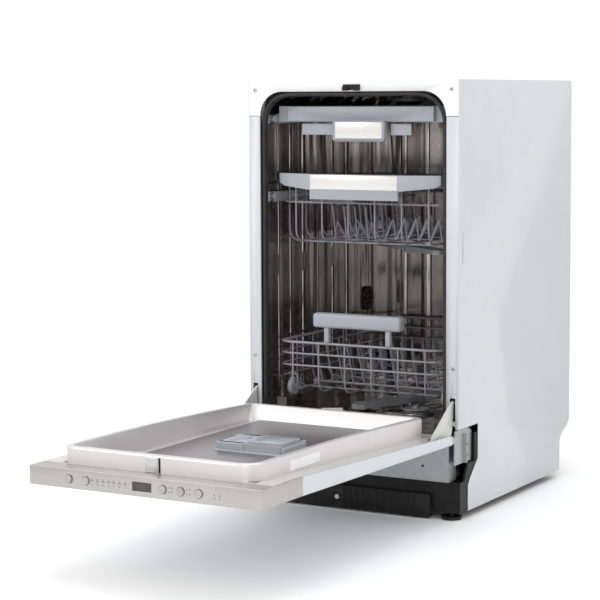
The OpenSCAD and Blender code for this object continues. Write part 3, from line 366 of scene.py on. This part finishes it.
def makeFlange(s):  # the flat border round the pan, falling towards the hinge
    bm = bmesh.new()
    slope = (s["high"] - s["low"]) / (s["end"] - s["fall"])
    edgeYs = [s["front"], s["front"] + 6, s["fall"], s["cutStart"], -62, s["end"]]
    xs = [-s["halfWidth"], -s["cutWidth"], -s["inner"], s["inner"], s["cutWidth"], s["halfWidth"]]
    made = bmesh.ops.create_grid(bm, x_segments=5, y_segments=5, size=0.5)
    for v in made["verts"]:
        i, j = round((v.co.x + 0.5) * 5), round((v.co.y + 0.5) * 5)
        y = edgeYs[j]
        v.co = at(xs[i], y, s["high"] - slope * max(0, y - s["fall"]))
    gone = []
    for f in bm.faces:
        middle = f.calc_center_median()
        overPan = abs(middle.x) < s["inner"] / 1000 and at(0, edgeYs[1], 0).y < middle.y < at(0, -62, 0).y
        byHinge = abs(middle.x) > s["cutWidth"] / 1000 and middle.y > at(0, s["cutStart"], 0).y
        if overPan or byHinge:
            gone.append(f)
    bmesh.ops.delete(bm, geom=gone, context="FACES")
    bmesh.ops.solidify(bm, geom=bm.faces[:], thickness=s["thickness"] / 1000)
    return makePiece("linerFlange", bm, "door", "liner_steel")


makeFlange(flangeSizes)

pocketSizes = {"halfWidth": 144, "front": -500, "rear": -100, "bottom": 173.2, "top": 179.3}


def makePocketFloor(s):  # raised field on the floor of the pan
    bm = bmesh.new()
    softBox(bm, at(-s["halfWidth"], s["front"], s["bottom"]), at(s["halfWidth"], s["rear"], s["top"]), 5, 4)
    for side in (-1, 1):
        softBox(bm, at(side * 70 - 4, -632, 173.4), at(side * 70 + 4, -520, 176.2), 2.4, 3)
    # the field takes the hollow's dark colour: painted shade and painted reflection of the dark tub
    return makePiece("linerField", bm, "door", "liner_steel", [extraFinishes["linerHollowPaintedShade"]])


makePocketFloor(pocketSizes)
print("door liner")

# Control panel, buttons, marks and display

roundedCopy("control_panel", 1.6, 60, 3)
panelFace = cornersOf("control_panel")[0].y
markSizes = {"iconXs": [-97, -86, -75, -64, -54, -43, -32], "iconZ": 174.6, "dotZ": 168.2,
             "pairXs": [57, 91], "lampXs": [136, 146], "lampZ": 173}


def makeMarks(s):
    bm = bmesh.new()
    y = panelFace - 0.12

    def dash(x, z, w, h, tilt=0.0, paint=0):
        before = set(bm.verts)
        softBox(bm, Vector((-w / 2000, -0.00012, -h / 2000)), Vector((w / 2000, 0.0004, h / 2000)), 0,
                paint=paint)
        fresh = [v for v in bm.verts if v not in before]
        bmesh.ops.rotate(bm, verts=fresh, cent=(0, 0, 0), matrix=Matrix.Rotation(math.radians(tilt), 3, "Y"))
        bmesh.ops.translate(bm, verts=fresh, vec=at(x, y + 0.1, z))

    for i, x in enumerate(s["iconXs"]):  # plain plate, bowl and drop shapes
        dash(x, s["iconZ"], 5.2, 0.7)
        dash(x, s["iconZ"] + 2.2, 3.4 if i % 2 else 0.7, 0.7 if i % 2 else 3.2)
        dash(x - 1.6, s["iconZ"] - 1.4, 2.6, 0.6, 40)
        dash(x + 1.6, s["iconZ"] - 1.4, 2.6, 0.6, -40)
        cylinderAt(bm, at(x, y, s["dotZ"]), (0, 1, 0), 0.9, 0.5, 12)
    for x in s["pairXs"]:
        for dz in (3.6, -3.6):
            dash(x, 173 + dz, 4.6, 0.7)
            dash(x, 173 + dz + 1.6, 0.8, 2.4)
            cylinderAt(bm, at(x - 5.6, y, 173 + dz), (0, 1, 0), 0.8, 0.5, 12)
    for x in s["lampXs"]:
        cylinderAt(bm, at(x, y, s["lampZ"]), (0, 1, 0), 1.0, 0.6, 16)
        dash(x, s["lampZ"] - 4.5, 3.6, 0.7)
        dash(x, s["lampZ"] - 6.2, 0.7, 2.2)
    return makePiece("panelMarks", bm, "door", "panel_steel", [extraFinishes["darkPrint"]])


makeMarks(markSizes)


def makeButton(nodeName):
    low, high = cornersOf(nodeName)
    middle = (low + high) / 2
    radius = 6.5
    bm = bmesh.new()
    y = low.y
    cylinderAt(bm, at(middle.x, y + 3.4, middle.z), (0, 1, 0), radius, 5.8, 40)
    face = min(bm.faces, key=lambda f: f.calc_center_median().y)
    for inset, push in ((0.9, -0.45), (0.5, -0.05), (0.5, 0.55), (2.6, 0.15)):  # rounded ring, dished face
        bmesh.ops.inset_region(bm, faces=[face], thickness=inset / 1000, use_even_offset=True)
        bmesh.ops.translate(bm, verts=face.verts, vec=(0, push / 1000, 0))
    return makePiece(nodeName + "Cap", bm, bodyOf[nodeName], "button_metal", replaced=[nodeName], sharp=50)


for nodeName in sorted(n for n in nodes if n.startswith("button_")):
    makeButton(nodeName)


def makeButtonRings():
    bm = bmesh.new()
    for nodeName in (n for n in nodes if n.startswith("button_")):
        low, high = cornersOf(nodeName)
        middle = (low + high) / 2
        ring = [at(middle.x + 7.6 * math.cos(a), panelFace - 0.1, middle.z + 7.6 * math.sin(a))
                for a in [2 * math.pi * k / 48 for k in range(48)]]
        addMesh(bm, wireMesh("ring", [ring], 0.55, closed=True))
    return makePiece("buttonRings", bm, "door", "button_metal", replaced=())


makeButtonRings()


def makeDigits():  # two unlit figures behind the window
    bm = bmesh.new()
    face = cornersOf("display_window")[0].y
    for x in (-6.5, -0.5, 5.5):
        for dx, dz, w, h in ((0, 4.1, 3, 0.6), (0, 0, 3, 0.6), (0, -4.1, 3, 0.6), (-1.9, 2, 0.6, 3.2),
                             (1.9, 2, 0.6, 3.2), (-1.9, -2, 0.6, 3.2), (1.9, -2, 0.6, 3.2)):
            softBox(bm, at(x + dx - w / 2, face - 0.06, 173 + dz - h / 2),
                    at(x + dx + w / 2, face + 0.2, 173 + dz + h / 2), 0)
    return makePiece("displayFigures", bm, "door", "display_glass", [extraFinishes["darkPrint"]])


makeDigits()
print("controls")

# Dispenser

dispenserSizes = {"x": 16, "y": -362.5, "top": 195}


def makeDispenserFrame(s):
    bm = bmesh.new()
    x, y = s["x"], s["y"]
    softBox(bm, at(x - 66, y - 43, 176), at(x - 10, y - 32, s["top"]), 2.2, 3)
    softBox(bm, at(x - 66, y + 31, 176), at(x + 66, y + 43, s["top"]), 2.2, 3)
    softBox(bm, at(x - 66, y - 40, 176), at(x - 60, y + 40, s["top"]), 2.0, 3)
    softBox(bm, at(x + 63, y - 40, 176), at(x + 68, y + 40, s["top"] - 3), 1.6, 3)
    softBox(bm, at(x - 70, y - 47, 178), at(x + 71, y + 47, 181.5), 1.6, 3)
    for k in range(5):
        softBox(bm, at(x - 52 + 3 * k, y - 26, s["top"] - 0.2),
                at(x - 50.6 + 3 * k, y - 16, s["top"] + 0.5), 0.3)
    return makePiece("dispenserFrame", bm, "door", "grey_plastic")


makeDispenserFrame(dispenserSizes)
roundedCopy("dispenser_lid", 1.5, 6, 3)
roundedCopy("rinse_aid_cap", 0.9, 4, 2)

labelSizes = {"x": 188.15, "y0": -560, "y1": -462, "z0": 191, "z1": 207}


def makeLabels(s):  # pale sticker with plain grey bars
    bm = bmesh.new()
    softBox(bm, at(s["x"] - 0.3, s["y0"], s["z0"]), at(s["x"] + 0.15, s["y1"], s["z1"]), 0)
    for k in range(9):
        z = s["z0"] + 3 + (k % 3) * 4.2
        y = s["y0"] + 8 + 30 * (k // 3)
        softBox(bm, at(s["x"], y, z), at(s["x"] + 0.2, y + 16 + 5 * (k % 2), z + 1.3), 0, paint=1)
    return makePiece("linerSticker", bm, "door", "liner_steel",
                     [extraFinishes["paleLabel"], extraFinishes["greyPrint"]])


makeLabels(labelSizes)
print("dispenser and stickers")

# Door: rounded sheet, latch, hinge arms

roundedCopy("door_outer_sheet", 0.5, 40, 2)
hingeSizes = {"x": 210.5, "bead": 2.6,
              "path": [(-108, 164.5), (-82, 166), (-40, 178), (-20, 196), (-2, 222), (5, 225.5), (8, 220)]}


def makeHingeEdges(s):  # folded, rounded edge along each arm
    bm = bmesh.new()
    for side in (-1, 1):
        run = bentRun([at(side * s["x"], y, z) for y, z in s["path"]], 14)
        addMesh(bm, wireMesh("bead", [run], s["bead"], fineness=3))
    return makePiece("hingeBeads", bm, "door", "hinge_paint")


makeHingeEdges(hingeSizes)

latchSizes = {"x": -6, "y": -669, "z0": 184, "z1": 213}


def makeLatchSlitShade(s):  # black boxes where the slit and notch beside the latch are: painted shade of the openings
    bm = bmesh.new()
    softBox(bm, at(s["x"] + 13, s["y"] - 0.4, s["z0"] + 2), at(s["x"] + 17, s["y"] + 4, s["z1"] + 1), 0.5)
    softBox(bm, at(s["x"] - 3, s["y"] - 1.2, s["z0"] - 4), at(s["x"] + 4, s["y"] + 2, s["z0"] + 0.6), 0.5)
    return makePiece("latchSlitShade", bm, "door", "black_plastic")


makeLatchSlitShade(latchSizes)
roundedCopy("door_latch", 1.4, 6, 3)
print("door")

# Cabinet: tub with stamped ribs, gasket, flanges

tubSizes = {"halfWidth": 198, "back": 525, "rise": 4.2,
            "leftYs": [70, 118, 170, 228, 292, 356, 412, 468],
            "rearXs": [-150, -96, -40, 40, 96, 150]}


def makeTubRibs(s):  # shallow stamped ribs that catch the light
    bm = bmesh.new()
    for i, y in enumerate(s["leftYs"]):
        for side in (-1, 1):
            wallX = side * (s["halfWidth"] - 0.2)
            low, high = (250, 560) if i % 2 else (215, 440)
            for z0, z1 in ((low, high), (high + 40, 735)):
                run = bentRun([at(wallX, y, z0), at(wallX, y, z1)], 1)
                addMesh(bm, wireMesh("rib", [run], s["rise"] + 2.5 * (i % 3), fineness=4))
    for i, x in enumerate(s["rearXs"]):
        run = [at(x, s["back"] - 0.2, 225), at(x, s["back"] - 0.2, 500 + 60 * (i % 2))]
        addMesh(bm, wireMesh("rib", [run], 9 + 4 * (i % 2), fineness=5))
        run = [at(x, s["back"] - 0.2, 600), at(x, s["back"] - 0.2, 742)]
        addMesh(bm, wireMesh("rib", [run], 8, fineness=5))
    wall = s["halfWidth"] / 1000
    for v in bm.verts:  # flattened so that they stay shallow and inside the wall
        if abs(abs(v.co.x) - wall) < 0.03 and abs(v.co.x) > 0.17:
            off = wall - abs(v.co.x)
            v.co.x = math.copysign(wall - max(-0.0004, off) * 0.42, v.co.x)
        back = at(0, s["back"], 0).y
        if v.co.y > back - 0.03:
            v.co.y = back - max(-0.0004, back - v.co.y) * 0.42
    return makePiece("tubRibs", bm, "cabinet", "tub_steel")


makeTubRibs(tubSizes)

gasketSizes = {"x": 193.4, "top": 794.4, "bottom": 206, "corner": 43, "radius": 4.1, "ys": [6.6, 11.2]}


def makeGasket(s):  # hollow lip seal: two rounded beads side by side
    bm = bmesh.new()
    for k, y in enumerate(s["ys"]):
        inset = 1.6 * k
        x, top = s["x"] - inset, s["top"] - inset
        points = [at(-x, y, s["bottom"]), at(-x, y, top), at(x, y, top), at(x, y, s["bottom"])]
        addMesh(bm, wireMesh("bead", [bentRun(points, s["corner"] * 1.5, steps=12)], s["radius"] - 0.8 * k,
                             fineness=4))
    return makePiece("gasketBeads", bm, "cabinet", "seal_rubber", replaced=["tub_gasket"])


makeGasket(gasketSizes)
for nodeName in ("front_top_rail", "side_panel_left", "side_panel_right"):
    roundedCopy(nodeName, 0.45, 30, 2)
print("cabinet")

# Base: ribbed cover

roundedCopy("base_front_cover", 1.2, 10, 2)

# Baskets of round wire

lowerSizes = {"x": 177, "front": 26, "rear": 503, "floor": 217, "top": 314, "side": 244.3,
              "loops": [292, 269]}
upperSizes = {"x": 177, "front": 42, "rear": 503, "floor": 508, "top": 620, "loops": [586]}


def basketWires(bm, s, crossYs, alongXs):
    x, y0, y1 = s["x"], s["front"], s["rear"]

    def loopAt(z):
        return bentRun([at(-x, y0, z), at(x, y0, z), at(x, y1, z), at(-x, y1, z)], 34, closed=True)
    addMesh(bm, wireMesh("rim", [loopAt(s["top"])], 2.5, closed=True, fineness=2))
    addMesh(bm, wireMesh("loop", [loopAt(z) for z in s["loops"]], 1.8, closed=True))
    top, floor = s["top"], s["floor"]
    cross = [bentRun([at(-x, y, top), at(-x, y, floor), at(x, y, floor), at(x, y, top)], 26)
             for y in crossYs]
    along = [bentRun([at(u, y0, top), at(u, y0, floor + 2), at(u, y1, floor + 2), at(u, y1, top)], 26)
             for u in alongXs]
    addMesh(bm, wireMesh("cross", cross + along, 1.8))


def makeLowerBasket(s):
    bm = bmesh.new()
    basketWires(bm, s, [102 + 65 * k for k in range(6)], [-143 + 57.2 * k for k in range(6)])
    side = [[at(k * s["x"], s["front"] + 26, s["side"]), at(k * s["x"], s["rear"] - 26, s["side"])]
            for k in (-1, 1)]
    addMesh(bm, wireMesh("side", side, 1.8))
    for nodeName in ("front_wheels", "rear_wheels"):
        low, high = cornersOf(nodeName)
        y, z = (low.y + high.y) / 2, (low.z + high.z) / 2
        for k in (-1, 1):
            run = bentRun([at(k * (s["x"] + 1), y, s["side"]), at(k * 159, y, s["side"]),
                           at(k * 159, y, z - 4)], 5)
            addMesh(bm, wireMesh("post", [run], 3.0, fineness=2))
            cylinderAt(bm, at(k * 165, y, z), (1, 0, 0), 3.0, 15, 20)
    for k in (-1, 1):
        softBox(bm, at(k * 143 - 4, 115, 218), at(k * 143 + 4, 125, 231), 1)
    return makePiece("lowerBasketWires", bm, "lower_rack", "wire_coating", replaced=["lower_basket"])


makeLowerBasket(lowerSizes)


def makeTines(name, nodeName, rows, z, lean, rise, replaced):
    bm = bmesh.new()
    runs = []
    for y in rows:
        runs.append([at(-150, y, z), at(150, y, z)])
        for i in range(12):
            u = 129 * (2 * i / 11 - 1)
            runs.append([at(u, y, z), at(u, y - lean, z + rise)])
    addMesh(bm, wireMesh("tines", runs, 1.8))
    return makePiece(name, bm, bodyOf[nodeName], "wire_coating", replaced=replaced)


makeTines("fixedTines", "lower_basket_floor", [215, 310], 222.8, 28, 80, ["lower_basket_floor"])
makeTines("foldingTines", "lower_tines", [120], 226, 28, 80, ["lower_tines"])


def zigzag(y, x0, x1, low, high, count, lean):  # one wire bent up and down across the basket
    return [at(x0 + (x1 - x0) * i / count, y + (lean if i % 2 else 0), high if i % 2 else low)
            for i in range(count + 1)]


def makeUpperBasket(s):
    bm = bmesh.new()
    basketWires(bm, s, [76 + 65.5 * k for k in range(7)], [-143 + 57.2 * k for k in range(6)])
    rows = [bentRun(zigzag(y, 20, 168, s["floor"] + 4, s["floor"] + 46, 12, 14), 5)
            for y in (100, 150, 215, 265, 330, 380, 440)]
    rows += [bentRun(zigzag(y, -100, 0, s["floor"] + 4, s["floor"] + 38, 8, -12), 5)
             for y in (120, 200, 290, 370)]
    for y in (95, 160, 225, 300, 375):
        rows += [[at(u, y, s["floor"] + 2), at(u + 4, y - 20, s["floor"] + 70)] for u in range(-84, 12, 24)]
    addMesh(bm, wireMesh("rows", rows, 1.6))
    for k in (-1, 1):  # rails with their rolled edges
        a, b = sorted((k * 181, k * 182.4))
        softBox(bm, at(a, 26, 586), at(b, 497, 606), 0.4)
        for z in (586, 604.6):
            a, b = sorted((k * 181, k * 188))
            softBox(bm, at(a, 26, z), at(b, 497, z + 1.4), 0.5)
        a, b = sorted((k * 176, k * 181.5))
        softBox(bm, at(a, 96, 592), at(b, 463, 600), 1)
    softBox(bm, at(-12, 241, 495), at(12, 502.5, 509), 3, 3)
    cylinderAt(bm, at(0, 253, 489), (0, 0, 1), 8, 14, 32)
    return makePiece("upperBasketWires", bm, "upper_rack", "wire_coating", replaced=["upper_basket"])


makeUpperBasket(upperSizes)
print("baskets")

# Grey plastic fronts of the racks

def makeLowerHandle():
    bm = bmesh.new()
    low, high = cornersOf("lower_handle")
    softBox(bm, at(low.x, low.y, high.z - 28), at(high.x, high.y, high.z), 6, 5)
    for k in (-66, 66):
        softBox(bm, at(k - 5, 21, 316.7), at(k + 5, 32, high.z - 26), 1.5, 2)
    return makePiece("lowerHandleGrip", bm, "lower_rack", "grey_plastic", replaced=["lower_handle"])


makeLowerHandle()
upperFrontSizes = {"plateTop": 640.5, "plateBottom": 613.5, "halfWidth": 93}


def makeUpperFrontPlate(s):  # bright insert in the middle of the upper basket's front
    bm = bmesh.new()
    y = cornersOf("upper_front")[0].y
    softBox(bm, at(-s["halfWidth"], y - 0.5, s["plateBottom"]),
            at(s["halfWidth"], y + 1.5, s["plateTop"]), 0.4, 2)
    return makePiece("upperFrontInsert", bm, "upper_rack", "grey_plastic", [extraFinishes["satinInsert"]])


makeUpperFrontPlate(upperFrontSizes)
roundedCopy("upper_front", 2.2, 12, 3)
roundedCopy("cutlery_front", 2.0, 8, 3)


def makeCutleryInsert():
    bm = bmesh.new()
    low = cornersOf("cutlery_front")[0]
    softBox(bm, at(-50, low.y - 0.5, low.z + 6), at(50, low.y + 2, low.z + 37), 0.4, 2)
    return makePiece("cutleryInsert", bm, "cutlery_rack", "grey_plastic", [extraFinishes["satinInsert"]])


makeCutleryInsert()


def makeRackStops():  # end caps that show at the front of the rails
    bm = bmesh.new()
    for side in (-1, 1):
        for z in (596, 747):
            low, high = sorted((side * 191, side * 197))
            softBox(bm, at(low, 20, z - 10), at(high, 26, z + 10), 2, 3)
    return makePiece("railEndCaps", bm, "cabinet", "grey_plastic")


makeRackStops()


def makeTrayBars():  # light bars beside the middle frame of the cutlery tray
    bm = bmesh.new()
    low = cornersOf("cutlery_front")[0]
    for x0, x1 in ((-132, -60), (60, 104)):
        softBox(bm, at(x0, 46, low.z + 12), at(x1, 49, low.z + 34), 2, 3)
    return makePiece("trayBars", bm, "cutlery_rack", "grey_plastic")


makeTrayBars()
print("rack fronts")

# Floor, light and camera

floorBm = bmesh.new()
bmesh.ops.create_grid(floorBm, x_segments=1, y_segments=1, size=14)
floorMesh = bpy.data.meshes.new("studioFloor")
floorBm.to_mesh(floorMesh)
floorBm.free()
floorMesh.materials.append(finish("paleFloor", (0.95, 0.95, 0.95), (0.96, 0.96, 0.96), rough=0.6, patch=2,
                                  grain=40, depth=0.001))
floor = bpy.data.objects.new("studioFloor", floorMesh)
bpy.context.scene.collection.objects.link(floor)

world = bpy.data.worlds.new("studio")
bpy.context.scene.world = world
world.use_nodes = True
world.node_tree.nodes["Background"].inputs["Color"].default_value = (1.0, 1.0, 1.0, 1)
world.node_tree.nodes["Background"].inputs["Strength"].default_value = 1.04

lampSizes = {
    "keyLight": {"place": (-1.9, -2.6, 2.3), "aim": (0, 0, 0.5), "size": (1.6, 1.6), "power": 26},
    "frontStrip": {"place": (1.3, -3.2, 1.4), "aim": (0, 0.3, 0.45), "size": (0.35, 1.6), "power": 12},
    "topLight": {"place": (0.3, 0.2, 3.0), "aim": (0, 0, 0.4), "size": (2.0, 2.0), "power": 25},
}
for lampName, s in lampSizes.items():
    lamp = bpy.data.lights.new(lampName, "AREA")
    lamp.shape = "RECTANGLE"
    lamp.size, lamp.size_y = s["size"]
    lamp.energy = s["power"]
    holder = bpy.data.objects.new(lampName, lamp)
    holder.location = s["place"]
    holder.rotation_euler = (Vector(s["aim"]) - Vector(s["place"])).to_track_quat("-Z", "Y").to_euler()
    bpy.context.scene.collection.objects.link(holder)

cameraSizes = {"place": (1716.6, -3209.6, 791.2), "yaw": 29.66, "pitch": 5.0, "roll": -0.27, "lens": 115.79,
               "shiftY": -0.059}
yaw, pitch, roll = (math.radians(cameraSizes[k]) for k in ("yaw", "pitch", "roll"))
forward = Vector((-math.sin(yaw) * math.cos(pitch), math.cos(yaw) * math.cos(pitch), -math.sin(pitch)))
right = Vector((math.cos(yaw), math.sin(yaw), 0))
up = right.cross(forward)
right, up = right * math.cos(roll) + up * math.sin(roll), up * math.cos(roll) - right * math.sin(roll)
cameraData = bpy.data.cameras.new("camera")
cameraData.lens = cameraSizes["lens"]
cameraData.sensor_width = 36
cameraData.shift_y = cameraSizes["shiftY"]
camera = bpy.data.objects.new("camera", cameraData)
turned = Matrix((right, up, -forward)).transposed().to_4x4()
camera.matrix_world = Matrix.Translation(at(*cameraSizes["place"])) @ turned
bpy.context.scene.collection.objects.link(camera)
bpy.context.scene.camera = camera
bpy.context.scene.view_settings.view_transform = "Standard"
print("floor, light and camera")
